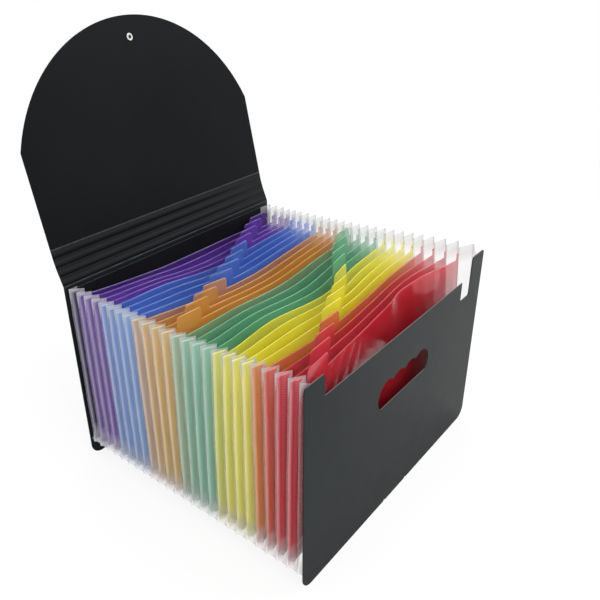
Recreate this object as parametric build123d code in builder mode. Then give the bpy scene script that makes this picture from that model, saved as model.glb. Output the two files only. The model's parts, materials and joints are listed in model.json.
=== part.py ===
"""Expanding accordion file: stiff covers, pleated bellows, tabbed dividers, creased spine and arched lid.

The file stands open on the lower edges of its two covers. X runs across the file, the front faces -Y and
Z is up. The origin is at floor level, under the middle of the file's outline. All sizes are in millimetres.
"""
import os
from math import asin, cos, hypot, radians, sin, tan

from build123d import *

os.makedirs("parts", exist_ok=True)

# Covers
WIDTH = 330.0  # covers, spine and lid, from side to side
FRONT_HEIGHT = 218.0  # top of the front cover's corner posts
BACK_HEIGHT = 216.0  # lowest crease of the spine, where the back cover ends
COVER_T = 1.0  # covers, spine strips and lid
CORNER_R = 13.0  # lower corners of both covers
POST_WIDTH = 28.0  # corner posts of the front cover
POST_R = 4.0  # upper corners of the posts
DIP_DEPTH = 21.5  # middle of the front cover, below the posts
SLOT_WIDTH = 21.0  # relief slot beside the right post
SLOT_DEPTH = 22.0  # slot, below the lowered middle
SLOT_R = 3.0  # corners at the foot of the slot

# Hand hole with finger scallops
FINGERS = 4
FINGER_PITCH = 22.0
FINGER_R = 16.0
HAND_HOLE_LOW = 127.5  # straight lower edge, above the floor
HAND_HOLE_HEIGHT = 28.0
HAND_HOLE_R = 4.0  # lower corners

# Bellows
POCKETS = 25
PITCH = 11.9  # one divider to the next with the file open
FOLD_DEPTH = 15.0  # side pleats, from inner fold to outer fold
FILM_T = 0.35
FILM_SEAT = 0.1  # gap between a welded strip and its cover
GUSSET_LOW = 14.0  # lowest folds, above the floor
GUSSET_HEIGHT = 202.0  # at the back cover
BOTTOM_FOLD = 8.0  # floor pleats at the back cover, from inner fold to outer fold
BELLOWS_CLIMB = 12.0  # dividers and film edge, from the back cover to the front cover

# Dividers and the black liner behind them
DIVIDER_T = 0.5
DIVIDER_HEIGHT = 172.6  # without the tab
DIVIDER_GAP = 0.4  # from a divider's edge to the fold that holds it
TABS_IN_ROW = 12
TAB_WIDTH = 35.0  # at the foot
TAB_HEIGHT = 13.0
TAB_SLANT = 84.0  # degrees, side of the tab to its foot
TAB_R = 3.5
TAB_MARGIN = 1.1  # outermost tab to the divider's side edge
LINER_HEIGHT = 188.6
LINER_GAP = 0.05  # from the welded strips of the pleats

# Spine and lid
STRIP_WIDTH = 9.8  # from crease to crease
STRIP_LEANS = (22.0, 22.0, 17.0, 12.2)  # degrees behind the vertical, from the back cover up
LID_LEAN = 12.2  # degrees behind the vertical
LID_LENGTH = 209.2  # top crease to the crown of the arch
LID_SHOULDER = 97.8  # straight sides, above the top crease
CREASE_GAP = 0.35  # from a crease line to the edge of the sheet beside it

# Closure button with its rivet and eyelet
RIVET_DOWN = 22.2  # below the crown of the arch
RIVET_R = 1.7
RIVET_FIT = 0.08  # radial play of the button and the lid on the rivet
RIVET_PROUD = 0.3  # rivet's end, past the eyelet
RIVET_BORE_R = 1.1
RIVET_BORE_DEPTH = 2.0
DOME_R = 3.5
DOME_HEIGHT = 1.7
EYELET_R = 4.0
EYELET_T = 0.8
EYELET_EDGE = 0.3  # chamfer at both rims
SEAT_GAP = 0.05  # between the pieces stacked on the rivet
BUTTON_R = 12.0
BUTTON_T = 2.2  # disc, at its rim
BUTTON_EDGE = 0.7  # chamfer round the rim
BUTTON_DISH_R = 10.2  # flat bottom of the dished face
BUTTON_DISH = 0.4  # depth of the dished face
BOSS_R = 5.5  # foot that holds the disc off the lid
BOSS_HEIGHT = 2.4

# Elastic closure
CORD_R = 1.0
CORD_SIDES = 10
CORD_X = 22.0  # cord ends and edge nicks, to either side of the middle
CORD_Z = 4.5  # cord ends, above the floor
NICK_R = 1.6  # half-round nicks in the front cover's lower edge, where the drawn cord bends round
ANCHOR_WIDTH = 56.0  # bar that holds the cord ends on the front cover's inner face
ANCHOR_LOW = 2.5
ANCHOR_HEIGHT = 6.5
ANCHOR_T = 3.5
ANCHOR_R = 1.2  # corners of the bar
FLOOR_CLEAR = 0.1  # cord above the floor
CORD_LEFT_HALF = (  # across, behind the bar, above the cord's end
    (0.0, 6.0, 0.0),
    (0.8, 13.5, -2.4),
    (9.5, 21.5, -3.35),
    (22.0, 24.3, -3.4),
)
CORD_TANGENT_SHARE = 0.45  # of the shorter run, taken up by each arc

# Places worked out from the sizes above
DEPTH = POCKETS * PITCH
DIVIDERS = POCKETS - 1
INNER_X = WIDTH / 2 - FOLD_DEPTH
DIVIDER_WIDTH = 2 * (INNER_X - DIVIDER_GAP)
FLOOR_FOLD = GUSSET_LOW + BOTTOM_FOLD  # inner folds of the floor pleats, at the back cover
DIVIDER_LOW = FLOOR_FOLD + DIVIDER_GAP  # lower edge that a divider at the back cover would have
TAB_REACH = DIVIDER_WIDTH / 2 - TAB_MARGIN - TAB_WIDTH / 2
TAB_STEP = 2 * TAB_REACH / (TABS_IN_ROW - 1)
LINER_DEPTH = FILM_SEAT + FILM_T + LINER_GAP
BUTTON_LOW = COVER_T / 2 + SEAT_GAP
BUTTON_TOP = BUTTON_LOW + BOSS_HEIGHT + BUTTON_T
RIVET_UP = LID_LENGTH - RIVET_DOWN


def spine_creases():
    """Offsets behind and above the lowest crease, for each crease up to the lid."""
    behind, above = 0.0, 0.0
    creases = [(behind, above)]
    for lean in STRIP_LEANS:
        behind += STRIP_WIDTH * sin(radians(lean))
        above += STRIP_WIDTH * cos(radians(lean))
        creases.append((behind, above))
    return creases


CREASES = spine_creases()
LID_SIN = sin(radians(LID_LEAN))
LID_COS = cos(radians(LID_LEAN))
FRONT_REACH = COVER_T / 2 + DEPTH + COVER_T
REAR_REACH = (
    CREASES[-1][0]
    + (RIVET_UP + BUTTON_R - BUTTON_EDGE) * LID_SIN
    + BUTTON_TOP * LID_COS
)
BACK_Y = (FRONT_REACH - REAR_REACH) / 2  # middle of the back cover's thickness
INNER_Y = BACK_Y - COVER_T / 2


def depth_plane(depth):
    """Upright plane that faces the front, this far in front of the back cover's inner face."""
    return Plane.XZ.offset(depth - INNER_Y)


def leaning_plane(crease, lean):
    """Plane of a sheet that rises from a crease and leans back: X across, Y up the sheet, Z to the inside."""
    behind, above = crease
    return Plane(
        origin=(0, BACK_Y + behind, BACK_HEIGHT + above),
        x_dir=(1, 0, 0),
        z_dir=(0, -cos(radians(lean)), sin(radians(lean))),
    )


def finish(piece, name):
    """Name a finished piece and write it to its own file."""
    piece.part.label = name
    export_step(piece.part, f"parts/{name}.step")


def climb(depth):
    """How far the bellows stand above their place at the back cover, at this depth."""
    return BELLOWS_CLIMB * depth / DEPTH


def pleat_outline(fold_in, fold_out, seat):
    """Outline of a pleated film as (fold, depth) points: along its inside and back along its outside.

    fold_in gives the place of the inner folds at a depth, and the outer folds are in line at fold_out.
    """
    inside, outside = [], []
    for i in range(2 * POCKETS + 1):
        depth = min(max(i * PITCH / 2, seat), DEPTH - seat)
        inner = fold_in(depth)
        fold = fold_out - inner
        film_across = FILM_T * hypot(fold, PITCH / 2) / (PITCH / 2) * fold / abs(fold)
        if i % 2:
            inside.append((fold_out - film_across, depth))
            outside.append((fold_out, depth))
        else:
            inside.append((inner, depth))
            outside.append((inner + film_across, depth))
    return inside + outside[::-1]


# Back cover
with BuildPart() as back_cover:
    with BuildSketch(depth_plane(-COVER_T)) as outline:
        Rectangle(WIDTH, BACK_HEIGHT - CREASE_GAP, align=(Align.CENTER, Align.MIN))
        fillet(outline.vertices().group_by(Axis.Y)[0], CORNER_R)
    extrude(amount=COVER_T)
finish(back_cover, "back_cover")

# Black liner sheet in front of the back cover
with BuildPart() as back_liner:
    with BuildSketch(depth_plane(LINER_DEPTH)):
        with Locations((0, DIVIDER_LOW)):
            Rectangle(DIVIDER_WIDTH, LINER_HEIGHT, align=(Align.CENTER, Align.MIN))
    extrude(amount=DIVIDER_T)
finish(back_liner, "back_liner")

# Front cover: corner posts, lowered middle, relief slot, hand hole and cord nicks
with BuildPart() as front_cover:
    with BuildSketch(depth_plane(DEPTH)) as outline:
        Rectangle(WIDTH, FRONT_HEIGHT, align=(Align.CENTER, Align.MIN))
        with Locations((0, FRONT_HEIGHT)):
            Rectangle(WIDTH - 2 * POST_WIDTH, DIP_DEPTH, align=(Align.CENTER, Align.MAX), mode=Mode.SUBTRACT)
        with Locations((WIDTH / 2 - POST_WIDTH, FRONT_HEIGHT - DIP_DEPTH)):
            Rectangle(SLOT_WIDTH, SLOT_DEPTH, align=(Align.MAX, Align.MAX), mode=Mode.SUBTRACT)
        fillet(outline.vertices().group_by(Axis.Y)[1], SLOT_R)
        fillet(outline.vertices().group_by(Axis.Y)[-1], POST_R)
        fillet(outline.vertices().group_by(Axis.Y)[0], CORNER_R)
        with Locations((-CORD_X, 0), (CORD_X, 0)):
            Circle(NICK_R, mode=Mode.SUBTRACT)
    extrude(amount=COVER_T)
    with BuildSketch(depth_plane(DEPTH)) as hand_hole:
        with Locations((0, HAND_HOLE_LOW + HAND_HOLE_HEIGHT - FINGER_R)):
            with GridLocations(FINGER_PITCH, 0, FINGERS, 1):
                Circle(FINGER_R)
        with Locations((0, HAND_HOLE_LOW)):
            Rectangle(
                FINGER_PITCH * (FINGERS - 1), HAND_HOLE_HEIGHT - FINGER_R, align=(Align.CENTER, Align.MIN)
            )
            Rectangle(WIDTH, 2 * FINGER_R, align=(Align.CENTER, Align.MAX), mode=Mode.SUBTRACT)
        fillet(hand_hole.vertices().group_by(Axis.Y)[0], HAND_HOLE_R)
    extrude(amount=COVER_T, mode=Mode.SUBTRACT)
finish(front_cover, "front_cover")

# Side pleats: one folded film with a welded strip on each cover
with BuildPart() as right_gusset:
    with BuildSketch(Plane.XY.offset(GUSSET_LOW)):
        with BuildLine():
            folds = pleat_outline(lambda depth: INNER_X, WIDTH / 2, FILM_SEAT)
            Polyline([(x, INNER_Y - d) for x, d in folds], close=True)
        make_face()
        strip_from = WIDTH / 2 - POST_WIDTH
        for strip_depth in (FILM_SEAT, DEPTH - FILM_SEAT - FILM_T):
            with Locations((strip_from, INNER_Y - strip_depth)):
                Rectangle(INNER_X + FILM_T - strip_from, FILM_T, align=(Align.MIN, Align.MAX))
    extrude(amount=GUSSET_HEIGHT + BELLOWS_CLIMB)
    back_top = (0, INNER_Y, GUSSET_LOW + GUSSET_HEIGHT)
    film_edge = Plane(origin=back_top, x_dir=(1, 0, 0), z_dir=(0, BELLOWS_CLIMB, DEPTH))
    split(bisect_by=film_edge, keep=Keep.BOTTOM)
finish(right_gusset, "right_gusset")

with BuildPart() as left_gusset:
    mirror(right_gusset.part, about=Plane.YZ)
finish(left_gusset, "left_gusset")

# Floor pleats, between the side pleats
with BuildPart() as bottom_gusset:
    with BuildSketch(Plane.YZ):
        with BuildLine():
            folds = pleat_outline(
                lambda depth: FLOOR_FOLD + climb(depth), GUSSET_LOW, FILM_SEAT + FILM_T + LINER_GAP
            )
            Polyline([(INNER_Y - d, z) for z, d in folds], close=True)
        make_face()
    extrude(amount=DIVIDER_WIDTH / 2, both=True)
finish(bottom_gusset, "bottom_gusset")

# Dividers, numbered from the back, with tabs that step from right to left in rows
for number in range(1, DIVIDERS + 1):
    tab_x = TAB_REACH - TAB_STEP * ((number - 1) % TABS_IN_ROW)
    divider_low = DIVIDER_LOW + climb(number * PITCH)
    with BuildPart() as divider:
        with BuildSketch(depth_plane(number * PITCH - DIVIDER_T / 2)) as outline:
            with Locations((0, divider_low)):
                Rectangle(DIVIDER_WIDTH, DIVIDER_HEIGHT, align=(Align.CENTER, Align.MIN))
            with Locations((tab_x, divider_low + DIVIDER_HEIGHT)):
                Trapezoid(TAB_WIDTH, TAB_HEIGHT, TAB_SLANT, align=(Align.CENTER, Align.MIN))
            fillet(outline.vertices().group_by(Axis.Y)[-1], TAB_R)
        extrude(amount=DIVIDER_T)
    finish(divider, f"divider_{number:02d}")

# Spine: flat strips between parallel creases
for number, (crease, lean) in enumerate(zip(CREASES, STRIP_LEANS), start=1):
    with BuildPart() as strip:
        with BuildSketch(leaning_plane(crease, lean)):
            with Locations((0, STRIP_WIDTH / 2)):
                Rectangle(WIDTH, STRIP_WIDTH - 2 * CREASE_GAP)
        extrude(amount=COVER_T / 2, both=True)
    finish(strip, f"spine_strip_{number}")

# Arched lid
LID_PLANE = leaning_plane(CREASES[-1], LID_LEAN)
with BuildPart() as lid_flap:
    with BuildSketch(LID_PLANE):
        with BuildLine():
            Polyline(
                (-WIDTH / 2, LID_SHOULDER),
                (-WIDTH / 2, CREASE_GAP),
                (WIDTH / 2, CREASE_GAP),
                (WIDTH / 2, LID_SHOULDER),
            )
            ThreePointArc((WIDTH / 2, LID_SHOULDER), (0, LID_LENGTH), (-WIDTH / 2, LID_SHOULDER))
        make_face()
        with Locations((0, RIVET_UP)):
            Circle(RIVET_R + RIVET_FIT, mode=Mode.SUBTRACT)
    extrude(amount=COVER_T / 2, both=True)
finish(lid_flap, "lid_flap")

# Turned pieces on the rivet: X is the radius and Y points out of the lid's outer face
RIVET_AT = LID_PLANE.from_local_coords((0, RIVET_UP, 0))
TURNING_PLANE = Plane(origin=RIVET_AT, x_dir=(1, 0, 0), z_dir=LID_PLANE.y_dir)
TURNING_AXIS = Axis(RIVET_AT, -LID_PLANE.z_dir)

with BuildPart() as closure_button:
    with BuildSketch(TURNING_PLANE) as profile:
        bore_r = RIVET_R + RIVET_FIT
        disc_low = BUTTON_LOW + BOSS_HEIGHT
        with BuildLine():
            Polyline(
                (bore_r, BUTTON_LOW),
                (BOSS_R, BUTTON_LOW),
                (BOSS_R, disc_low),
                (BUTTON_R, disc_low),
                (BUTTON_R, BUTTON_TOP),
                (BUTTON_DISH_R + BUTTON_DISH, BUTTON_TOP),
                (BUTTON_DISH_R, BUTTON_TOP - BUTTON_DISH),
                (bore_r, BUTTON_TOP - BUTTON_DISH),
                close=True,
            )
        make_face()
        chamfer(profile.vertices().group_by(Axis.X)[-1], BUTTON_EDGE)
    revolve(axis=TURNING_AXIS)
finish(closure_button, "closure_button")

eyelet_top = -COVER_T / 2 - SEAT_GAP
rivet_end = eyelet_top - EYELET_T - RIVET_PROUD
dome_low = BUTTON_TOP - BUTTON_DISH + SEAT_GAP
dome_top = dome_low + DOME_HEIGHT
dome_ball_r = (DOME_R**2 + DOME_HEIGHT**2) / (2 * DOME_HEIGHT)
dome_half_angle = asin(DOME_R / dome_ball_r) / 2
dome_middle = (dome_ball_r * sin(dome_half_angle), dome_top - dome_ball_r * (1 - cos(dome_half_angle)))

with BuildPart() as button_rivet:
    with BuildSketch(TURNING_PLANE):
        with BuildLine():
            Polyline(
                (0, dome_top),
                (0, rivet_end + RIVET_BORE_DEPTH),
                (RIVET_BORE_R, rivet_end + RIVET_BORE_DEPTH),
                (RIVET_BORE_R, rivet_end),
                (RIVET_R, rivet_end),
                (RIVET_R, dome_low),
                (DOME_R, dome_low),
            )
            ThreePointArc((DOME_R, dome_low), dome_middle, (0, dome_top))
        make_face()
    revolve(axis=TURNING_AXIS)
finish(button_rivet, "button_rivet")

with BuildPart() as rivet_eyelet:
    with BuildSketch(TURNING_PLANE) as profile:
        with Locations((RIVET_R + SEAT_GAP, eyelet_top)):
            Rectangle(EYELET_R - RIVET_R - SEAT_GAP, EYELET_T, align=(Align.MIN, Align.MAX))
        chamfer(profile.vertices().group_by(Axis.Y)[0], EYELET_EDGE)
    revolve(axis=TURNING_AXIS)
finish(rivet_eyelet, "rivet_eyelet")

# Bar on the front cover's inner face that holds both ends of the elastic
front_inner_y = INNER_Y - DEPTH
anchor_front_y = front_inner_y + SEAT_GAP
anchor_back_y = anchor_front_y + ANCHOR_T
with BuildPart() as cord_anchor:
    with BuildSketch(Plane.XZ.offset(-anchor_back_y)) as outline:
        with Locations((0, ANCHOR_LOW)):
            Rectangle(ANCHOR_WIDTH, ANCHOR_HEIGHT, align=(Align.CENTER, Align.MIN))
        fillet(outline.vertices(), ANCHOR_R)
    extrude(amount=ANCHOR_T)
finish(cord_anchor, "cord_anchor")

# Elastic loop: from the bar's left end, round on the floor behind the front cover and back to its right end
left_half = [(-CORD_X, anchor_back_y, CORD_Z)]
for across, behind, above in CORD_LEFT_HALF:
    height = max(CORD_Z + above, CORD_R + FLOOR_CLEAR)
    left_half.append((-CORD_X + across, anchor_back_y + behind, height))
right_half = [(-x, y, z) for x, y, z in left_half[-2::-1]]
route = [Vector(*point) for point in left_half + right_half]
runs = [after - before for before, after in zip(route, route[1:])]
radii = []
for before, after in zip(runs, runs[1:]):
    half_turn = radians(before.get_angle(after)) / 2
    radii.append(CORD_TANGENT_SHARE * min(before.length, after.length) / tan(half_turn))
print("cord bend radii:", [round(radius, 1) for radius in radii])

with BuildPart() as elastic_loop:
    with BuildLine() as cord_line:
        FilletPolyline(*route, radius=radii)
    with BuildSketch(Plane(origin=route[0], z_dir=runs[0])):
        RegularPolygon(CORD_R, CORD_SIDES)
    sweep()
cord_length = cord_line.wires()[0].length
print("cord length:", round(cord_length, 1), "volume:", round(elastic_loop.part.volume, 1))
finish(elastic_loop, "elastic_loop")
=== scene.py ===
"""Dresses the accordion file: film, coloured dividers, creased spine, elastic, finishes and stage."""

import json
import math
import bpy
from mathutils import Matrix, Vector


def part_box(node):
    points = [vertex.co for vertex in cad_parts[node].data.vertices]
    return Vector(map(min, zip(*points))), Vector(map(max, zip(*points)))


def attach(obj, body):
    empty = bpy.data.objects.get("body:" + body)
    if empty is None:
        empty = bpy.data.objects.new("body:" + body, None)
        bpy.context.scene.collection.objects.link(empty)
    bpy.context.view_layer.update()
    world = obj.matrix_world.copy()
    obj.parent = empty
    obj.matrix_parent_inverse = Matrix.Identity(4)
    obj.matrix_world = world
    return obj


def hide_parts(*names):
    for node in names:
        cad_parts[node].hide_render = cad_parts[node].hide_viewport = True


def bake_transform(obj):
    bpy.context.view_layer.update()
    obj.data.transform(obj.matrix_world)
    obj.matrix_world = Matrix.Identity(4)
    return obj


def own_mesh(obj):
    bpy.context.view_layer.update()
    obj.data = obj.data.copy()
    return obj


bl_info = {
    "name": "Accordion File",
    "version": (1, 0, 0),
    "blender": (4, 5, 0),
    "location": "View3D > Sidebar > File",
    "description": "Dresses the packed accordion file with film, dividers, creases, elastic and finishes",
    "category": "Object",
}

import bmesh
import bpy
from bpy.props import FloatProperty, FloatVectorProperty, IntProperty, PointerProperty
from bpy.types import Operator, Panel, PropertyGroup
from mathutils import Matrix, Vector

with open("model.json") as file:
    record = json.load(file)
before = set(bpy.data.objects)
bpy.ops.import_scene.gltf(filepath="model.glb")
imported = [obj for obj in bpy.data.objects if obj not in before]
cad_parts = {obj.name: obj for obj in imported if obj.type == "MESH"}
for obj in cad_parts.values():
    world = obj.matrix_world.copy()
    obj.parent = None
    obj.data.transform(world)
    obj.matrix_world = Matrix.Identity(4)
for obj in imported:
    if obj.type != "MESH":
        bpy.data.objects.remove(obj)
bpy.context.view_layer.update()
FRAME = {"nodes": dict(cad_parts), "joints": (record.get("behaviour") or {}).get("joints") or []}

MM = 0.001
BACK_LOW, BACK_HIGH = (Vector(corner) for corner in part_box("back_cover"))
FRONT_HIGH = Vector(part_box("front_cover")[1])
FILM_LOW = Vector(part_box("right_gusset")[0])
SHEET_LOW, SHEET_HIGH = (Vector(corner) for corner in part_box("divider_01"))
LINER_LOW, LINER_HIGH = (Vector(corner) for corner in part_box("back_liner"))
INNER_Y = BACK_LOW.y
DEPTH = INNER_Y - FRONT_HIGH.y
HALF_WIDTH = BACK_HIGH.x
DIVIDERS = sum(name.startswith("divider_") for name in FRAME["nodes"])
PITCH = DEPTH / (DIVIDERS + 1)

# The dividers' colours from the back, with how pale their welded margins are, from 0 to 1.
HUES = {"purple": 0.4, "blue": 0.85, "orange": 0.85, "green": 0.8, "yellow": 0.7, "red": 0.12}

# How far the dividers' top edges lean back, in millimetres, at five places from the left end to the right.
# The rows are counted in pockets from the back cover.
LEANS = {
    0: (0, 0, 0, 0, 0),
    1: (-1, 2.5, 2, 1.5, 0),
    3: (-1, 4, -5, 0, 2),
    5: (0, 8, -3, 3, 6.5),
    9: (1, -2, -4.5, 3, 10),
    13: (-3.5, 3, 1, 9, 14),
    17: (-5.5, 4, -3, 9, 14.8),
    21: (-0.5, -1, 4, 11, 13.6),
    24: (-3, 5, 13, 19, 7.5),
    25: (0, 0, 0, 0, 0),
}

# Height of the pleats' tips on each side, in millimetres, at five places from the back cover to the front.
FILM_TOPS = {-1: (216, 215, 214.5, 218, 221.8), 1: (212.5, 212.5, 214, 218, 222)}

# How far the dividers' margins end below the pleats' tips on each side, in millimetres.
MARGIN_DROPS = {-1: 3.5, 1: 8}

# How far the pleats' lower edge ends above the CAD film's.
FOOT_CLEAR = 2.5 * MM

# How a lean grows with height, and how wavy the film is at its outer folds.
LEAN_POWER = 1.6
FILM_WAVE = 0.5 * MM

# The elastic's route under the file, in millimetres from the anchor bar's back face, on the left half.
ELASTIC_HALF = ((-22, 0, 4.5), (-22, 6, 4.5), (-21.2, 13.5, 2.1), (-12.5, 21.5, 1.15), (0, 24.3, 1.1))

# Rows of points up a divider, as shares of its height, and then as shares of its tab's height.
SHEET_ROWS = (
    0, 0.14, 0.28, 0.42, 0.54, 0.65, 0.74, 0.8, 0.84, 0.87, 0.89, 0.91, 0.93, 0.95, 0.965, 0.98, 0.99, 1,
)
TAB_ROWS = (0.3, 0.6, 0.85, 1)

# Steps from a divider's middle to its end. The front divider is finer, for its ripples.
SHEET_STEPS, FRONT_STEPS = 22, 90

# Steps across the floor's film, and across a crease.
FLOOR_FILM_STEPS, CREASE_STEPS = 12, 24

# The skin over a crease, in millimetres: how far along the sheet, and how far from its middle.
CREASE_OUTLINE = (
    (-0.8, 0.52), (-0.5, 0.56), (-0.24, 0.63), (0.0, 0.66), (0.24, 0.63), (0.5, 0.56), (0.8, 0.52),
)

# Spots for each metre in the sand-blasted texture of black plastic.
SAND_SCALE = 900

# The stage's floor: its radius in metres, and how far it lies below the file.
FLOOR_RADIUS = 9.0
FLOOR_DROP = 0.3 * MM

# Where each lamp stands and how wide it is, in metres, and the point that all of them face.
LAMPS = {
    "key": ((-0.75, -1.35, 1.25), 1.4),
    "top": ((0.45, 0.1, 1.7), 1.2),
    "back": ((0.7, 1.4, 0.9), 1.0),
    "side": ((1.1, -1.15, 1.25), 0.9),
}
LAMP_TARGET = Vector((0.0, -0.03, 0.16))

# The camera's place, its axes to the right, down and ahead, and its sideways shift.
CAMERA_PLACE = Vector((-0.4985, INNER_Y - 0.5361, 0.5036))
CAMERA_RIGHT = Vector((0.6507, -0.75833, -0.03902))
CAMERA_DOWN = Vector((-0.3686, -0.27053, -0.88935))
CAMERA_AHEAD = Vector((0.66387, 0.59309, -0.45555))
CAMERA_SHIFT = 0.1


def ink(red, green, blue):
    """A colour as it looks on a screen, from 0 to 255, in linear light."""
    levels = (level / 255 for level in (red, green, blue))
    return tuple(v / 12.92 if v <= 0.04045 else ((v + 0.055) / 1.055) ** 2.4 for v in levels)


def toned(colour, factor, lift=0.0):
    """A darker or paler version of a colour."""
    return tuple(min(channel * factor + lift, 1.0) for channel in colour)


def misted(colour, share, white):
    """A colour seen through a white mist."""
    return tuple(share * channel**0.5 + white for channel in colour)


def colour_property(name, description, default):
    """A colour that a user can change."""
    return FloatVectorProperty(
        name=name, description=description, default=default, subtype="COLOR", min=0.0, max=1.0
    )


def length_property(name, description, default):
    """A length that a user can change."""
    return FloatProperty(name=name, description=description, default=default, subtype="DISTANCE", min=0.0)


def power_property(name, description, default):
    """A lamp's power that a user can change."""
    return FloatProperty(name=name, description=description, default=default, min=0.0)


class FileColours(PropertyGroup):
    """Colours of the file's plastics, metal and elastic."""

    cover: colour_property("Covers", "Black of the front and back covers", ink(20, 24, 25))
    lid: colour_property("Lid", "Black of the lid and the spine", ink(9, 11, 13))
    sanded: colour_property("Sanded", "Greyer black of the sanded outer faces", ink(70, 71, 73))
    liner: colour_property("Liner", "Black of the sheet in front of the back cover", ink(12, 13, 16))
    # A grey painted as a highlight on faces that face up, and along the first and last creases of the
    # spine.
    highlight_grey: colour_property("Highlight Grey", "Paler grey of cut and folded plastic", ink(108, 110, 110))
    film: colour_property("Film", "Frosted film of the pleats", ink(248, 249, 250))
    purple: colour_property("Purple", "First four dividers from the back", ink(100, 54, 172))
    blue: colour_property("Blue", "Second four dividers", ink(62, 110, 212))
    orange: colour_property("Orange", "Third four dividers", ink(212, 137, 40))
    green: colour_property("Green", "Fourth four dividers", ink(80, 164, 122))
    yellow: colour_property("Yellow", "Fifth four dividers", ink(255, 236, 40))
    red: colour_property("Red", "Front four dividers", ink(196, 26, 40))
    button: colour_property("Button", "Moulded closure button", ink(23, 24, 26))
    rivet: colour_property("Rivet", "Dark metal of the button's rivet", ink(70, 72, 76))
    eyelet: colour_property("Eyelet", "Nickel of the eyelet", ink(182, 180, 176))
    elastic: colour_property("Elastic", "Woven cover of the elastic", ink(62, 63, 66))


class BellowsShape(PropertyGroup):
    """Sizes of the folded film and of the dividers."""

    film_tip: length_property("Film Tip", "How much the outer folds stand above the inner ones", 2 * MM)
    film_foot: length_property("Film Foot", "How much the pleats' feet stand up at the back", 6 * MM)
    scallop: length_property("Scallop", "Depth of the scallops along the pleats' lower edge", 1 * MM)
    divider_lift: length_property("Divider Lift", "Rise of the dividers' left ends at the back", 12 * MM)
    divider_thickness: length_property("Divider Thickness", "Thickness of a divider", 0.25 * MM)
    margin_foot: length_property("Margin Foot", "Height of a margin above the pleats' lower edge", 1.5 * MM)
    ear: length_property("Ear", "Width of the raised right end of a divider's top edge", 4 * MM)
    pinch: length_property("Pinch", "Height over which the pleats' feet are pressed flat", 9 * MM)
    tab_foot: length_property("Tab Foot", "Width of an index tab at its foot", 35 * MM)
    tab_round: length_property("Tab Corner", "Radius of an index tab's corners", 3.5 * MM)
    margin: FloatProperty(
        name="Margin", description="Share of a pleat that a divider's welded margin covers",
        default=0.9, min=0.1, max=0.95, subtype="FACTOR",
    )
    rows: IntProperty(name="Rows", description="Rows of faces up each pleat", default=18, min=4, max=60)


class StageLook(PropertyGroup):
    """Floor, lamps and camera."""

    floor: colour_property("Floor", "Colour of the plain floor", ink(240, 240, 240))
    ambient: FloatProperty(
        name="Ambient", description="Light from all round", default=0.84, min=0.0, max=2.0
    )
    key: power_property("Key", "Power of the large lamp at the front", 15.0)
    top: power_property("Top", "Power of the lamp above", 10.0)
    back: power_property("Back", "Power of the lamp behind", 7.0)
    side: power_property("Side", "Power of the lamp at the right", 8.0)
    lens: FloatProperty(
        name="Lens", description="Focal length for a 36 mm sensor", default=39.69, unit="CAMERA"
    )


class Term:
    """A node's output that takes part in Python arithmetic."""

    def __init__(self, nodes, node, output=0):
        self.nodes = nodes
        self.node = node
        self.socket = node.outputs[output]

    def out(self, name):
        """Another output of the same node."""
        return Term(self.nodes, self.node, name)

    def math(self, operation, *values):
        """A Math node with this value first."""
        sockets = dict(enumerate((self, *values)))
        return self.nodes.add("ShaderNodeMath", {"operation": operation}, sockets)

    def clamp(self):
        """This value kept between 0 and 1."""
        return self.nodes.add("ShaderNodeMath", {"operation": "ADD", "use_clamp": True}, {0: self, 1: 0.0})

    def __add__(self, other):
        return self.math("ADD", other)

    __radd__ = __add__

    def __sub__(self, other):
        return self.math("SUBTRACT", other)

    def __rsub__(self, other):
        return self.nodes.add("ShaderNodeMath", {"operation": "SUBTRACT"}, {0: other, 1: self})

    def __mul__(self, other):
        return self.math("MULTIPLY", other)

    __rmul__ = __mul__

    def __truediv__(self, other):
        return self.math("DIVIDE", other)

    def __gt__(self, other):
        return self.math("GREATER_THAN", other)

    def __lt__(self, other):
        return self.math("LESS_THAN", other)

    def __abs__(self):
        return self.math("ABSOLUTE")


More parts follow.
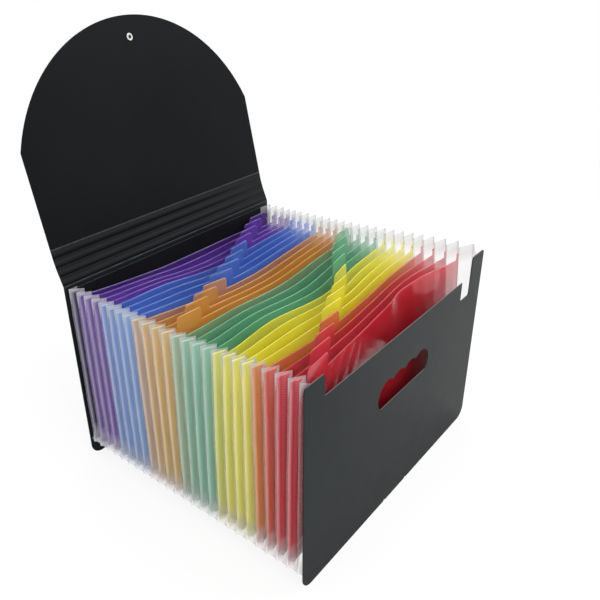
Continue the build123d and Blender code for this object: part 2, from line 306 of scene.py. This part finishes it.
class Nodes:
    """A node tree that is filled by expressions."""

    def __init__(self, tree):
        self.tree = tree
        tree.nodes.clear()

    def add(self, kind, settings=None, sockets=None, output=0):
        """Adds a node, sets it, then gives its sockets their values or links."""
        node = self.tree.nodes.new(kind)
        for name, value in (settings or {}).items():
            setattr(node, name, value)
        for name, value in (sockets or {}).items():
            if isinstance(value, Term):
                self.tree.links.new(value.socket, node.inputs[name])
            else:
                node.inputs[name].default_value = value
        return Term(self, node, output) if node.outputs else node

    def mix(self, first, second, share):
        """The first colour going over to the second by a share."""
        # Inputs 6 and 7 and output 2 are the node's colour sockets.
        ends = [end if isinstance(end, Term) else (*end, 1.0) for end in (first, second)]
        sockets = {0: share, 6: ends[0], 7: ends[1]}
        return self.add("ShaderNodeMix", {"data_type": "RGBA"}, sockets, 2)

    def place(self):
        """Where a point is on the object, in metres."""
        return self.add("ShaderNodeTexCoord", None, None, "Object")

    def part(self, vector, axis):
        """One of a vector's three parts."""
        return self.add("ShaderNodeSeparateXYZ", None, {0: vector}, axis)

    def chart(self):
        """Both map coordinates of a point."""
        place = self.add("ShaderNodeUVMap", {"uv_map": "UVMap"})
        return self.part(place, "X"), self.part(place, "Y")

    def stretched(self, place, share):
        """A place for noise that is drawn out along X."""
        return self.add("ShaderNodeMapping", None, {0: place, "Scale": (share, 1.0, 1.0)})

    def noise(self, place, scale, detail=2.0):
        """Soft noise with a scale in spots for each metre."""
        sockets = {"Vector": place, "Scale": scale, "Detail": detail}
        return self.add("ShaderNodeTexNoise", None, sockets, "Fac")

    def facing(self, axis):
        """How far the surface faces along one of the object's own axes."""
        return self.part(self.add("ShaderNodeTexCoord", None, None, "Normal"), axis)

    def bump(self, height, depth):
        """Raises the surface by up to a depth, in metres."""
        sockets = {"Strength": 1.0, "Distance": depth, "Height": height}
        return self.add("ShaderNodeBump", None, sockets, "Normal")

    def surface(self, sockets):
        """The plastic, metal or cloth itself."""
        shader = self.add("ShaderNodeBsdfPrincipled", None, sockets)
        self.add("ShaderNodeOutputMaterial", None, {"Surface": shader})


def finish(name):
    """A new material and its nodes."""
    material = bpy.data.materials.new(name)
    material.use_nodes = True
    return material, Nodes(material.node_tree)


def sanded_black(name, colour, sanded, edge, gloss, shine, grain):
    """Black sheet plastic with a sanded outer face, a satin inner face and a painted highlight on the faces
    that face up.
    """
    material, n = finish(name)
    place = n.place()
    sand = n.noise(place, SAND_SCALE, 3.0)
    cloud = n.noise(place, 7, 3.0)
    scuff = n.noise(place, 45, 4.0)
    outer = (n.facing("Y") * 4 - 2).clamp()
    # Painted highlight: faces that face up, mostly the plates' top edges, get the highlight grey, made
    # patchy by the scuff noise.
    up_facing_highlight = (n.facing("Z") * 8 - 6.5).clamp()
    lighter = toned(colour, 1.7, 0.002)
    base = n.mix(colour, lighter, (cloud * 1.6 - 0.35).clamp() * 0.7)
    base = n.mix(base, sanded, outer * (sand * 3 - 0.9 + cloud * 0.3).clamp())
    base = n.mix(base, edge, up_facing_highlight * (0.35 + 0.5 * scuff))
    n.surface({
        "Base Color": base,
        "Roughness": gloss + 0.1 * cloud + 0.16 * outer + 0.08 * scuff,
        "Specular IOR Level": shine,
        "Normal": n.bump(sand * (0.25 + outer) + cloud * 2.0, grain),
    })
    return material


def creased_black(name, colour, sanded, edge, start, way, width):
    """Black sheet plastic of one spine strip, rounded between its creases by a bump, with a painted
    highlight along its crown and on the faces that face up.
    """
    material, n = finish(name)
    place = n.place()
    sand = n.noise(place, SAND_SCALE, 3.0)
    streak = n.noise(n.stretched(place, 0.06), 260, 4.0)
    y, z = (n.part(place, axis) for axis in "YZ")
    across = ((y - start.y) * way.y + (z - start.z) * way.z) / width
    crown = (across * math.pi).math("SINE")
    lighter = toned(colour, 2.6, 0.005)
    outer = (n.facing("Y") * 4 - 1.2).clamp()
    # Lighter in random streaks, and lighter along the strip's crown as a painted highlight.
    base = n.mix(colour, lighter, (streak * 0.6 + crown * 1.2 - 0.9).clamp())
    base = n.mix(base, sanded, outer * (sand * 3 - 0.75).clamp())
    # Painted highlight on the faces that face up.
    base = n.mix(base, edge, (n.facing("Z") * 8 - 6.5).clamp() * 0.4)
    n.surface({
        "Base Color": base,
        "Roughness": 0.34 + 0.2 * streak + 0.12 * outer,
        "Specular IOR Level": 0.09,
        "Normal": n.bump(crown + sand * 0.03 + streak * 0.06, 1.4 * MM),
    })
    return material


def crease_line(name, colour):
    """The line of a fold in black plastic, patchy with wear. Given a pale colour, it is a painted highlight
    along the fold.
    """
    material, n = finish(name)
    wear = n.noise(n.place(), 130, 4.0)
    dark = toned(colour, 0.35)
    n.surface({
        "Base Color": n.mix(dark, colour, (wear * 2.2 - 0.6).clamp()),
        "Roughness": 0.4 + 0.2 * wear,
        "Specular IOR Level": 0.15,
        "Normal": n.bump(wear, 0.1 * MM),
    })
    return material


def above_foot(height, share, shape):
    """How far a height lies above the pleats' lower edge, at a share of the way to the front cover."""
    return height - (FILM_LOW.z + FOOT_CLEAR) - shape.film_foot * (1 - share)


def frosted_film(colour, hues, shape):
    """Frosted clear film, whiter along folds and edges, with some of the dividers' colours behind it, and
    painted shade that greys it near its tips and near its foot.
    """
    material, n = finish("film_frosted")
    place = n.place()
    pocket, below_top = n.chart()
    across = (pocket * 2).math("PINGPONG", 1.0)
    group = DIVIDERS // len(hues)
    behind = hues[0]
    for i, hue in enumerate(hues[1:], 1):
        behind = n.mix(behind, hue, ((pocket - i * group - 0.5) * 20 + 0.5).clamp())
    frost = n.noise(place, 420, 3.0)
    haze = n.noise(place, 24, 3.0)
    ridge = (across * 7 - 6).clamp()
    valley = (1 - across * 10).clamp()
    rim = (1 - below_top * 0.9).clamp()
    shaded_tip_band = (1.7 - below_top * 0.09).clamp()
    height = n.part(place, "Z")
    low = (1.2 - above_foot(height, pocket / (DIVIDERS + 1), shape) / (13 * MM)).clamp()
    cover = 0.12 + 0.04 * haze + 0.22 * ridge + 0.06 * valley + 0.12 * rim + 0.28 * shaded_tip_band + 0.45 * low
    base = n.mix(toned(colour, 0.92), colour, (frost * 1.4 - 0.2).clamp())
    base = n.mix(base, behind, 0.45 * (below_top * 0.12 - 0.5).clamp())
    # Painted shade: the film is a darker grey in a band near its tips.
    base = n.mix(base, toned(colour, 0.58), 0.85 * shaded_tip_band)
    n.surface({
        # Painted shade: the film is a darker grey near its foot.
        "Base Color": n.mix(base, toned(colour, 0.84), 0.75 * low),
        "Roughness": 0.34 + 0.2 * frost,
        "Specular IOR Level": 0.3,
        "Alpha": cover.clamp(),
        "Normal": n.bump(frost * 0.05 + haze * 2.0, 0.25 * MM),
    })
    return material


def tinted_sheet(hue, colour, behind, first, shape):
    """Clear coloured sheet of the dividers, with lit edges and paler margins that show the colour behind
    them. On the purple dividers this is painted shade, darkening the backmost sheet and the margins towards
    black.
    """
    material, n = finish("divider_" + hue)
    place = n.place()
    side, below_top = n.chart()
    across = abs(side)
    y, height = (n.part(place, axis) for axis in "YZ")
    number = (INNER_Y - y) / PITCH - first
    flow = n.noise(n.stretched(place, 0.35), 30, 3.0)
    grain = n.noise(place, 700, 2.0)
    lit_edge = (1 - below_top * 1.1).clamp()
    margin = (across * 12 - 12).clamp()
    leading = margin * (1.3 - 0.55 * number).clamp()
    backmost = (1.7 - number - 0.2 * first).clamp()
    above = above_foot(height, (INNER_Y - y) / DEPTH, shape)
    lower = margin * (1.1 - above / (24 * MM)).clamp()
    fading = (across * 5 - 8.5).clamp()
    ending = (1.2 - above / (11 * MM)).clamp()
    weld_band = abs(across - 1.5) < 0.1
    dashes = weld_band * ((height * 400).math("FRACT") > 0.5)
    # Painted shade: for the purple dividers the colour behind is the liner's black, so their backmost sheet
    # and their margins are darkened towards black near the back cover. For the other groups, the margins of
    # a group's first sheets show some of the colour of the group behind them.
    behind_share_and_back_shade = leading * 0.18 if first else (backmost * 0.6 + margin * 0.28).clamp()
    base = n.mix(toned(colour, 0.88), toned(colour, 1.08, 0.01), (flow * 2.0 - 0.5).clamp())
    base = n.mix(base, toned(colour, 1.2, 0.12), (lit_edge * 0.4 + dashes * 0.45).clamp())
    base = n.mix(base, misted(colour, 0.8, 0.1), margin * HUES[hue])
    base = n.mix(base, behind, behind_share_and_back_shade)
    base = n.mix(base, misted(colour, 0.3, 0.55), 0.85 * lower + 0.3 * fading * (1 - lower))
    n.surface({
        "Base Color": base,
        "Subsurface Weight": 1.0,
        "Subsurface Radius": (1.0, 1.0, 1.0),
        "Subsurface Scale": 2 * MM,
        "Roughness": 0.1 + 0.06 * flow + 0.04 * grain,
        "Specular IOR Level": 0.55,
        "Alpha": (0.47 + 0.2 * lit_edge + (0.28 - 0.55 * ending) * margin + 0.3 * backmost).clamp(),
        "Normal": n.bump(flow, 0.12 * MM),
    })
    return material


def moulded_black(colour):
    """Moulded button plastic with a fine grain and a faint cloudy tone."""
    material, n = finish("button_black")
    place = n.place()
    grain = n.noise(place, 1400, 2.0)
    cloud = n.noise(place, 90, 3.0)
    lighter = toned(colour, 1.8, 0.004)
    n.surface({
        "Base Color": n.mix(colour, lighter, (cloud * 1.6 - 0.4).clamp()),
        "Roughness": 0.3 + 0.18 * cloud,
        "Coat Weight": 0.1 + 0.1 * cloud,
        "Normal": n.bump(grain, 0.05 * MM),
    })
    return material


def worn_metal(name, colour, gloss):
    """Plated metal with fine scratches and duller patches."""
    material, n = finish(name)
    place = n.place()
    scratch = n.noise(n.stretched(place, 0.15), 2400, 4.0)
    patch = n.noise(place, 260, 3.0)
    n.surface({
        "Base Color": n.mix(toned(colour, 0.7), colour, (patch * 1.8 - 0.3).clamp()),
        "Metallic": 1.0,
        "Roughness": gloss + 0.16 * patch + 0.06 * scratch,
        "Normal": n.bump(scratch, 0.02 * MM),
    })
    return material


def braided(colour):
    """Woven sleeve of the elastic, in slanting threads."""
    material, n = finish("elastic_grey")
    along, around = n.chart()
    left = ((along * 60 + around * 4) * math.tau).math("SINE")
    right = ((along * 60 - around * 4) * math.tau).math("SINE")
    thread = (left * right * 0.5 + 0.5).clamp()
    n.surface({
        "Base Color": n.mix(toned(colour, 0.45), colour, thread),
        "Roughness": 0.75 + 0.12 * thread,
        "Normal": n.bump(thread, 0.12 * MM),
    })
    return material


def dress(material, *nodes):
    """Gives CAD nodes a finish."""
    for name in nodes:
        for slot in FRAME["nodes"][name].material_slots:
            slot.material = material


def new_piece(name, mesh, material, body):
    """A piece of the file that rides on a body."""
    piece = bpy.data.objects.new(name, mesh)
    bpy.context.scene.collection.objects.link(piece)
    piece.data.materials.append(material)
    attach(piece, body)
    return piece


def smooth_through(values, place):
    """A smooth curve through evenly spaced values, read at a place from 0 to 1."""
    place = min(max(place, 0.0), 1.0) * (len(values) - 1)
    first = min(int(place), len(values) - 2)
    part = place - first
    before, start = values[max(first - 1, 0)], values[first]
    end, after = values[first + 1], values[min(first + 2, len(values) - 1)]
    bend = 2 * before - 5 * start + 4 * end - after
    turn = 3 * start - before - 3 * end + after
    return start + 0.5 * ((end - before) * part + bend * part**2 + turn * part**3)


def settle(point):
    """Moves a point of the film or of a divider to where the slack plastic really hangs."""
    x, y, z = point
    pocket = min(max((INNER_Y - y) / PITCH, 0.0), DIVIDERS + 1.0)
    rows = sorted(LEANS)
    near = next(row for row in rows[1:] if row >= pocket - 1e-9)
    far = rows[rows.index(near) - 1]
    across = (x / SHEET_HIGH.x + 1) / 2
    share = (pocket - far) / (near - far)
    lean = smooth_through(LEANS[far], across) * (1 - share) + smooth_through(LEANS[near], across) * share
    rise = max(z - LINER_LOW.z, 0.0) / (LINER_HIGH.z - LINER_LOW.z - 12 * MM)
    outside = max(abs(x) - SHEET_HIGH.x, 0.0) / (HALF_WIDTH - SHEET_HIGH.x)
    wave = FILM_WAVE * outside * math.sin(z * 31 + pocket * 1.3)
    return Vector((x - math.copysign(abs(wave), x), y + lean * MM * rise**LEAN_POWER, z))


def mesh_through(name, points, faces, charts, thickness=0.0):
    """A mesh with a UV for each point, thickened evenly to both sides where it has a thickness."""
    mesh = bpy.data.meshes.new(name)
    build = bmesh.new()
    layer = build.loops.layers.uv.new("UVMap")
    corners = [build.verts.new(point) for point in points]
    for face in faces:
        ring = list(dict.fromkeys(face))
        if len(ring) > 2:
            made = build.faces.new([corners[i] for i in ring])
            made.smooth = True
            for loop, i in zip(made.loops, ring):
                loop[layer].uv = charts[i]
    bmesh.ops.delete(build, geom=[v for v in build.verts if not v.link_faces], context="VERTS")
    build.normal_update()
    build.to_mesh(mesh)
    build.free()
    if thickness:
        carrier = bpy.data.objects.new(name, mesh)
        bpy.context.scene.collection.objects.link(carrier)
        solid = carrier.modifiers.new("Thickness", "SOLIDIFY")
        solid.thickness, solid.offset = thickness, 0.0
        shown = carrier.evaluated_get(bpy.context.evaluated_depsgraph_get())
        thick = bpy.data.meshes.new_from_object(shown)
        bpy.data.objects.remove(carrier)
        bpy.data.meshes.remove(mesh)
        thick.name = name
        mesh = thick
    return mesh


def columns_mesh(name, columns):
    """A mesh through columns, each a list of (point, chart) from its foot to its top."""
    points, charts, faces = [], [], []
    for column in columns:
        points += [point for point, _ in column]
        charts += [chart for _, chart in column]
    rows = len(columns[0])
    for i in range(len(columns) - 1):
        for j in range(rows - 1):
            a, b = i * rows + j, (i + 1) * rows + j
            faces.append((a, b, b + 1, a + 1))
    return mesh_through(name, points, faces, charts)


def film_tip(side, share):
    """Height of a side's pleats at a share of the way to the front cover."""
    return smooth_through(FILM_TOPS[side], share) * MM


def film_foot(share, outer, shape):
    """Height of the pleats' lower edge, which hangs down in a scallop at each outer fold."""
    return FILM_LOW.z + FOOT_CLEAR + shape.film_foot * (1 - share) + shape.scallop * (1 - outer)


def pinched(x, rise, shape):
    """Moves a pleat's point outward near its foot, where the pleats are pressed flat and welded."""
    share = max(1 - rise / shape.pinch, 0.0) ** 2
    weld = HALF_WIDTH - 1.2 * MM
    return x + math.copysign(weld - abs(x), x) * share


def side_film(side, shape, name):
    """The folded film of one side, from the back cover to the front cover."""
    lines = []
    inner_x, outer_x, weld = SHEET_HIGH.x + 0.4 * MM, HALF_WIDTH - 0.3 * MM, 0.3 * MM
    for fold in range(2 * DIVIDERS + 3):
        outer = fold % 2
        depth = min(max(fold * PITCH / 2, weld), DEPTH - weld)
        lines.append((outer_x if outer else inner_x, depth, outer))
    columns = []
    for start, end in zip(lines, lines[1:]):
        for part in (0, 0.25, 0.5, 0.75):
            columns.append(tuple(a + (b - a) * part for a, b in zip(start, end)))
    columns.append(lines[-1])
    strips = []
    for x, depth, outer in columns:
        share = depth / DEPTH
        at_cover = max(1 - min(depth, DEPTH - depth) / (PITCH / 2), 0.0)
        top = film_tip(side, share) + shape.film_tip * (outer - 1)
        cover_top = (FRONT_HIGH if share > 0.5 else BACK_HIGH).z - 3 * MM
        top += (min(top, cover_top) - top) * at_cover
        foot = film_foot(share, outer, shape)
        strip = []
        for row in range(shape.rows + 1):
            z = foot + (top - foot) * row / shape.rows
            point = settle((pinched(side * x, z - foot, shape), INNER_Y - depth, z))
            strip.append((point, (depth / PITCH, (top - z) / MM)))
        strips.append(strip)
    # The left side's strips run the other way, so that its faces look outward too.
    return columns_mesh(name, strips[::side])


def floor_film(name):
    """The folded film under the pockets."""
    low, high = (Vector(corner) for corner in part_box("bottom_gusset"))
    steps = FLOOR_FILM_STEPS
    places = [low.x + (high.x - low.x) * i / steps for i in range(steps + 1)]
    weld, below_top = 0.6 * MM, 60.0
    strips = []
    for fold in range(2 * DIVIDERS + 3):
        depth = min(max(fold * PITCH / 2, weld), DEPTH - weld)
        inner_z = SHEET_LOW.z - 0.9 * MM + (high.z - SHEET_LOW.z) * depth / DEPTH
        z = low.z + 0.3 * MM if fold % 2 else inner_z
        chart = (depth / PITCH + 0.5, below_top)
        strips.append([(settle((x, INNER_Y - depth, z)), chart) for x in places])
    return columns_mesh(name, strips)


def tab_profile(height, shape):
    """(offset, height) along an index tab's edge, from its left foot to its right foot."""
    lean = math.radians(6)
    half, corner = shape.tab_foot / 2, shape.tab_round
    side_height = height - corner * (1 - math.sin(lean))
    centre = half - side_height * math.tan(lean) - corner * math.cos(lean)
    right = [(half - side_height * math.tan(lean) * i / 3, side_height * i / 3) for i in range(4)]
    for i in range(1, 6):
        angle = lean + (math.pi / 2 - lean) * i / 5
        right.append((centre + corner * math.cos(angle), height - corner + corner * math.sin(angle)))
    middle = [(centre * i / 4, height) for i in range(-3, 4)]
    return [(-x, z) for x, z in right] + middle + right[::-1]


def hump(value, centre, half_width):
    """1 at a centre, falling to 0 at a distance from it, both in millimetres."""
    return max(1 - ((value / MM - centre) / half_width) ** 2, 0.0)


def ripples(x, below_top):
    """Slack ripples near the top of the front divider, in metres."""
    left = 1.5 * hump(x, -92, 42) * hump(below_top, 15, 14)
    right = 2.0 * hump(x, 42, 28) ** 2 * max(1 - below_top / (60 * MM), 0.0)
    return MM * (left * math.sin((x + 0.8 * below_top) / (3.2 * MM)) + right)


def divider_columns(number, shape):
    """Upright lines of a divider from left to right: (x, y, foot, top edge, tab's rise, place across)."""
    node = "divider_%02d" % number
    corners = [vertex.co for vertex in FRAME["nodes"][node].data.vertices]
    low, high = (Vector(corner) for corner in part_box(node))
    top = max(corner.z for corner in corners if abs(corner.x) > high.x - 0.2 * MM)
    tab = [corner.x for corner in corners if corner.z > high.z - 0.2 * MM]
    middle = (min(tab) + max(tab)) / 2
    plane = (low.y + high.y) / 2
    steps = FRONT_STEPS if number == DIVIDERS else SHEET_STEPS
    places = [high.x * (i / steps - 1) for i in range(2 * steps + 1)]
    places = [(x, 0.0) for x in places if abs(x - middle) > shape.tab_foot / 2 + 1.2 * MM]
    ear = high.x - shape.ear
    if ear - middle > shape.tab_foot / 2 + 2 * MM:
        places += [(ear - 0.6 * MM, 0.0), (ear, 0.0)]
    else:
        ear = high.x
    sheet = sorted(places + [(middle + x, z) for x, z in tab_profile(high.z - top, shape)])
    share = (INNER_Y - plane) / DEPTH
    margin_tops = {side: film_tip(side, share) - drop * MM for side, drop in MARGIN_DROPS.items()}

    def margin(side, i):
        out = shape.margin * i / 5
        x = side * (high.x + (HALF_WIDTH - high.x) * out - 0.15 * MM)
        y = plane + PITCH / 2 * out - 0.2 * MM
        foot = film_foot(share, out, shape) + shape.margin_foot
        return x, y, foot, margin_tops[side], 0.0, side * (1 + out)

    columns = [margin(-1, i) for i in range(5, 0, -1)]
    for x, z in sheet:
        # The lift starts a fifth of the way from the middle to the left end.
        lift = shape.divider_lift * (1 - 0.67 * share) * max(-x / high.x - 0.2, 0.0) ** 1.5 / 0.72
        edge = margin_tops[1] if x >= ear else top + lift
        columns.append((x, plane, low.z, edge, z, x / high.x))
    return columns + [margin(1, i) for i in range(1, 6)]


def divider_sheet(number, shape, name):
    """One divider: its sheet with an index tab, and a margin welded to the film at each side."""
    columns = divider_columns(number, shape)
    points, charts, faces = [], [], []
    last_row = len(SHEET_ROWS) - 1
    count = len(SHEET_ROWS) + len(TAB_ROWS)
    for x, y, foot, edge, rise, across in columns:
        levels = [foot + (edge - foot) * h for h in SHEET_ROWS] + [edge + rise * h for h in TAB_ROWS]
        for z in levels:
            bent = pinched(x, z - foot + shape.margin_foot, shape) if abs(across) > 1 else x
            point = settle((bent, y, z))
            if number == DIVIDERS:
                point.y += ripples(x, edge - z)
            points.append(point)
            charts.append((across, (edge + rise - z) / MM))
    rises = [column[4] for column in columns]
    for i in range(len(columns) - 1):
        tabbed = rises[i] > 0 or rises[i + 1] > 0
        for j in range(count - 1 if tabbed else last_row):
            ring = []
            for column, row in ((i, j), (i + 1, j), (i + 1, j + 1), (i, j + 1)):
                if rises[column] == 0:
                    row = min(row, last_row)
                ring.append(column * count + row)
            faces.append(ring)
    return mesh_through(name, points, faces, charts, shape.divider_thickness)


def crease_bead(place, below, above, name):
    """The rounded skin of one crease, across the whole spine."""
    under = [(along, -half) for along, half in reversed(CREASE_OUTLINE)]
    ring = [*CREASE_OUTLINE, *under, CREASE_OUTLINE[0]]
    end = HALF_WIDTH - 0.2 * MM
    strips = []
    for i in range(CREASE_STEPS + 1):
        x = end * (2 * i / CREASE_STEPS - 1)
        strip = []
        for along, half in ring:
            way = below if along < 0 else above
            across = Vector((0, -way.z, way.y))
            strip.append((Vector((x, place.y, place.z)) + MM * (along * way + half * across), (x, along)))
        strips.append(strip)
    return columns_mesh(name, strips)


class FILE_OT_covers(Operator):
    """Finishes of the covers, the liner, the lid and the anchor bar"""

    bl_idname = "file.covers"
    bl_label = "Covers"

    def execute(self, context):
        tint = context.scene.file_colours
        edge = tint.highlight_grey
        cover = sanded_black(
            "cover_black", tint.cover, tint.sanded, edge, gloss=0.36, shine=0.095, grain=0.16 * MM
        )
        lid = sanded_black(
            "lid_black", tint.lid, tint.sanded, edge, gloss=0.36, shine=0.068, grain=0.12 * MM
        )
        liner = sanded_black(
            "liner_black", tint.liner, tint.liner, edge, gloss=0.5, shine=0.1, grain=0.1 * MM
        )
        dress(cover, "front_cover", "back_cover", "cord_anchor")
        dress(lid, "lid_flap")
        dress(liner, "back_liner")
        return {"FINISHED"}


class FILE_OT_spine(Operator):
    """Finish of the spine strips, and the rounded skins over the creases"""

    bl_idname = "file.spine"
    bl_label = "Spine"

    def execute(self, context):
        tint = context.scene.file_colours
        # The first and last creases get a pale line, which is a painted highlight. The others get a dark
        # line.
        pale = crease_line("crease_pale", toned(tint.highlight_grey, 0.3))
        dark = crease_line("crease_dark", toned(tint.lid, 1.5))
        creases = [joint for joint in FRAME["joints"] if joint["child"].startswith(("strip_", "lid"))]
        places = [Vector(joint["pos_m"]) for joint in creases]
        ways = [(b - a).normalized() for a, b in zip(places, places[1:])]
        # The back cover stands upright, and the lid carries on from the last strip.
        ways = [Vector((0, 0, 1)), *ways, ways[-1]]
        for i, (start, end) in enumerate(zip(places, places[1:]), 1):
            strip = "spine_strip_%d" % i
            width = (end - start).length
            colours = (tint.lid, tint.sanded, tint.highlight_grey)
            dress(creased_black(strip + "_black", *colours, start, ways[i], width), strip)
        for joint, place, below, above in zip(creases, places, ways, ways[1:]):
            name = joint["name"] + "_bead"
            piece = bpy.data.objects.new(name, crease_bead(place, below, above, name))
            context.scene.collection.objects.link(piece)
            piece.data.materials.append(pale if joint in (creases[0], creases[-1]) else dark)
            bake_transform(piece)
        return {"FINISHED"}


class FILE_OT_film(Operator):
    """Frosted film of the sides and of the floor, folded between the covers"""

    bl_idname = "file.film"
    bl_label = "Folded Film"

    def execute(self, context):
        shape, tint = context.scene.file_bellows, context.scene.file_colours
        film = frosted_film(tint.film, [getattr(tint, hue) for hue in HUES], shape)
        meshes = {
            "left_gusset": side_film(-1, shape, "left_film"),
            "right_gusset": side_film(1, shape, "right_film"),
            "bottom_gusset": floor_film("floor_film"),
        }
        for node, mesh in meshes.items():
            piece = new_piece(mesh.name, mesh, film, "back")
            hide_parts(node)
            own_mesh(piece)
        return {"FINISHED"}


class FILE_OT_dividers(Operator):
    """Coloured dividers with index tabs and welded margins"""

    bl_idname = "file.dividers"
    bl_label = "Dividers"

    def execute(self, context):
        shape, tint = context.scene.file_bellows, context.scene.file_colours
        colours = [getattr(tint, hue) for hue in HUES]
        group = DIVIDERS // len(HUES)
        sheets = []
        # The purple dividers take the liner's black as the colour behind them, which paints shade on them
        # near the back cover.
        for i, (hue, behind) in enumerate(zip(HUES, [tint.liner, *colours])):
            sheets.append(("divider_" + hue, tinted_sheet(hue, colours[i], behind, i * group, shape)))
        for number in range(1, DIVIDERS + 1):
            slot, tinted = sheets[(number - 1) // group]
            node = "divider_%02d" % number
            mesh = divider_sheet(number, shape, node + "_tinted")
            piece = new_piece(mesh.name, mesh, tinted, node + "_sheet")
            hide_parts(node)
            anchor = (0, INNER_Y - number * PITCH, 0)
            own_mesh(piece)
        return {"FINISHED"}


class FILE_OT_closure(Operator):
    """Finishes of the button, its rivet and its eyelet, and the elastic"""

    bl_idname = "file.closure"
    bl_label = "Closure"

    def execute(self, context):
        tint = context.scene.file_colours
        dress(moulded_black(tint.button), "closure_button")
        dress(worn_metal("rivet_dark", tint.rivet, gloss=0.3), "button_rivet")
        dress(worn_metal("eyelet_nickel", tint.eyelet, gloss=0.26), "rivet_eyelet")
        anchor_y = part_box("cord_anchor")[1][1]
        left = [Vector((x * MM, anchor_y + y * MM, z * MM)) for x, y, z in ELASTIC_HALF]
        route = left + [Vector((-p.x, p.y, p.z)) for p in left[-2::-1]]
        curve = bpy.data.curves.new("elastic_cord", "CURVE")
        curve.dimensions = "3D"
        curve.bevel_depth = 1 * MM
        curve.bevel_resolution = 5
        curve.resolution_u = 16
        line = curve.splines.new("NURBS")
        line.points.add(len(route) - 1)
        for point, place in zip(line.points, route):
            point.co = (*place, 1.0)
        line.order_u = 3
        line.use_endpoint_u = True
        piece = new_piece("elastic_cord", curve, braided(tint.elastic), "front")
        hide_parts("elastic_loop")
        return {"FINISHED"}


class FILE_OT_stage(Operator):
    """Plain floor, soft lamps, white surroundings and the camera"""

    bl_idname = "file.stage"
    bl_label = "Stage"

    def execute(self, context):
        look, scene = context.scene.file_stage, context.scene
        scene.view_settings.view_transform = "Standard"
        mesh = bpy.data.meshes.new("floor")
        build = bmesh.new()
        bmesh.ops.create_circle(build, cap_ends=True, segments=96, radius=FLOOR_RADIUS)
        build.to_mesh(mesh)
        build.free()
        floor = bpy.data.objects.new("floor", mesh)
        floor.location.z = -FLOOR_DROP
        scene.collection.objects.link(floor)
        mesh.materials.append(self.floor_finish(look))
        self.surround(scene, look)
        for name in LAMPS:
            self.lamp(scene, name, getattr(look, name))
        camera = bpy.data.cameras.new("camera")
        camera.sensor_width = 36.0
        camera.lens = look.lens
        camera.shift_x = CAMERA_SHIFT
        eye = bpy.data.objects.new("camera", camera)
        turn = Matrix((CAMERA_RIGHT, -CAMERA_DOWN, -CAMERA_AHEAD)).transposed().to_4x4()
        eye.matrix_world = Matrix.Translation(CAMERA_PLACE) @ turn
        scene.collection.objects.link(eye)
        scene.camera = eye
        return {"FINISHED"}

    def floor_finish(self, look):
        """Pale floor that the camera sees almost white, with the object's shadow."""
        material, n = finish("floor_pale")
        seen = n.add("ShaderNodeLightPath", None, None, "Is Camera Ray")
        away = n.add("ShaderNodeVectorMath", {"operation": "LENGTH"}, {0: n.place()}, "Value")
        clear = (away - 0.45).clamp()
        paper = n.add("ShaderNodeBsdfDiffuse", None, {"Color": (*look.floor, 1.0), "Roughness": 0.6})
        white = n.add("ShaderNodeEmission", None, {"Color": (1, 1, 1, 1), "Strength": 1.0})
        both = n.add("ShaderNodeMixShader", None, {0: seen * (0.85 + 0.15 * clear), 1: paper, 2: white})
        n.add("ShaderNodeOutputMaterial", None, {"Surface": both})
        return material

    def surround(self, scene, look):
        """White for the camera and in reflections, softer as light."""
        scene.world = bpy.data.worlds.new("surround")
        scene.world.use_nodes = True
        n = Nodes(scene.world.node_tree)
        path = n.add("ShaderNodeLightPath", None, None, "Is Camera Ray")
        shown = (path + path.out("Is Glossy Ray") + path.out("Is Transmission Ray")).clamp()
        strength = look.ambient + (1 - look.ambient) * shown
        back = n.add("ShaderNodeBackground", None, {"Color": (1, 1, 1, 1), "Strength": strength})
        n.add("ShaderNodeOutputWorld", None, {"Surface": back})

    def lamp(self, scene, name, power):
        """A large square lamp that faces the file."""
        place, size = LAMPS[name]
        lamp = bpy.data.lights.new(name, "AREA")
        lamp.energy, lamp.size = power, size
        holder = bpy.data.objects.new(name, lamp)
        holder.location = place
        holder.rotation_euler = (LAMP_TARGET - Vector(place)).to_track_quat("-Z", "Y").to_euler()
        scene.collection.objects.link(holder)


class FILE_PT_sidebar(Panel):
    """Lists the file's pieces and their settings"""

    bl_label = "Accordion File"
    bl_space_type = "VIEW_3D"
    bl_region_type = "UI"
    bl_category = "File"

    def draw(self, context):
        for operator in OPERATORS:
            self.layout.operator(operator.bl_idname)
        for settings in (context.scene.file_colours, context.scene.file_bellows, context.scene.file_stage):
            box = self.layout.box()
            for name in settings.__annotations__:
                box.prop(settings, name)


SETTINGS = {"file_colours": FileColours, "file_bellows": BellowsShape, "file_stage": StageLook}
OPERATORS = (FILE_OT_stage, FILE_OT_closure, FILE_OT_covers, FILE_OT_spine, FILE_OT_film, FILE_OT_dividers)


def register():
    for group in (*SETTINGS.values(), *OPERATORS, FILE_PT_sidebar):
        bpy.utils.register_class(group)
    for name, group in SETTINGS.items():
        setattr(bpy.types.Scene, name, PointerProperty(type=group))


def unregister():
    for name in SETTINGS:
        delattr(bpy.types.Scene, name)
    for group in (FILE_PT_sidebar, *reversed(OPERATORS), *reversed(tuple(SETTINGS.values()))):
        bpy.utils.unregister_class(group)


def main():
    register()
    for operator in OPERATORS:
        group, name = operator.bl_idname.split(".")
        getattr(getattr(bpy.ops, group), name)()


if __name__ == "__main__":
    main()
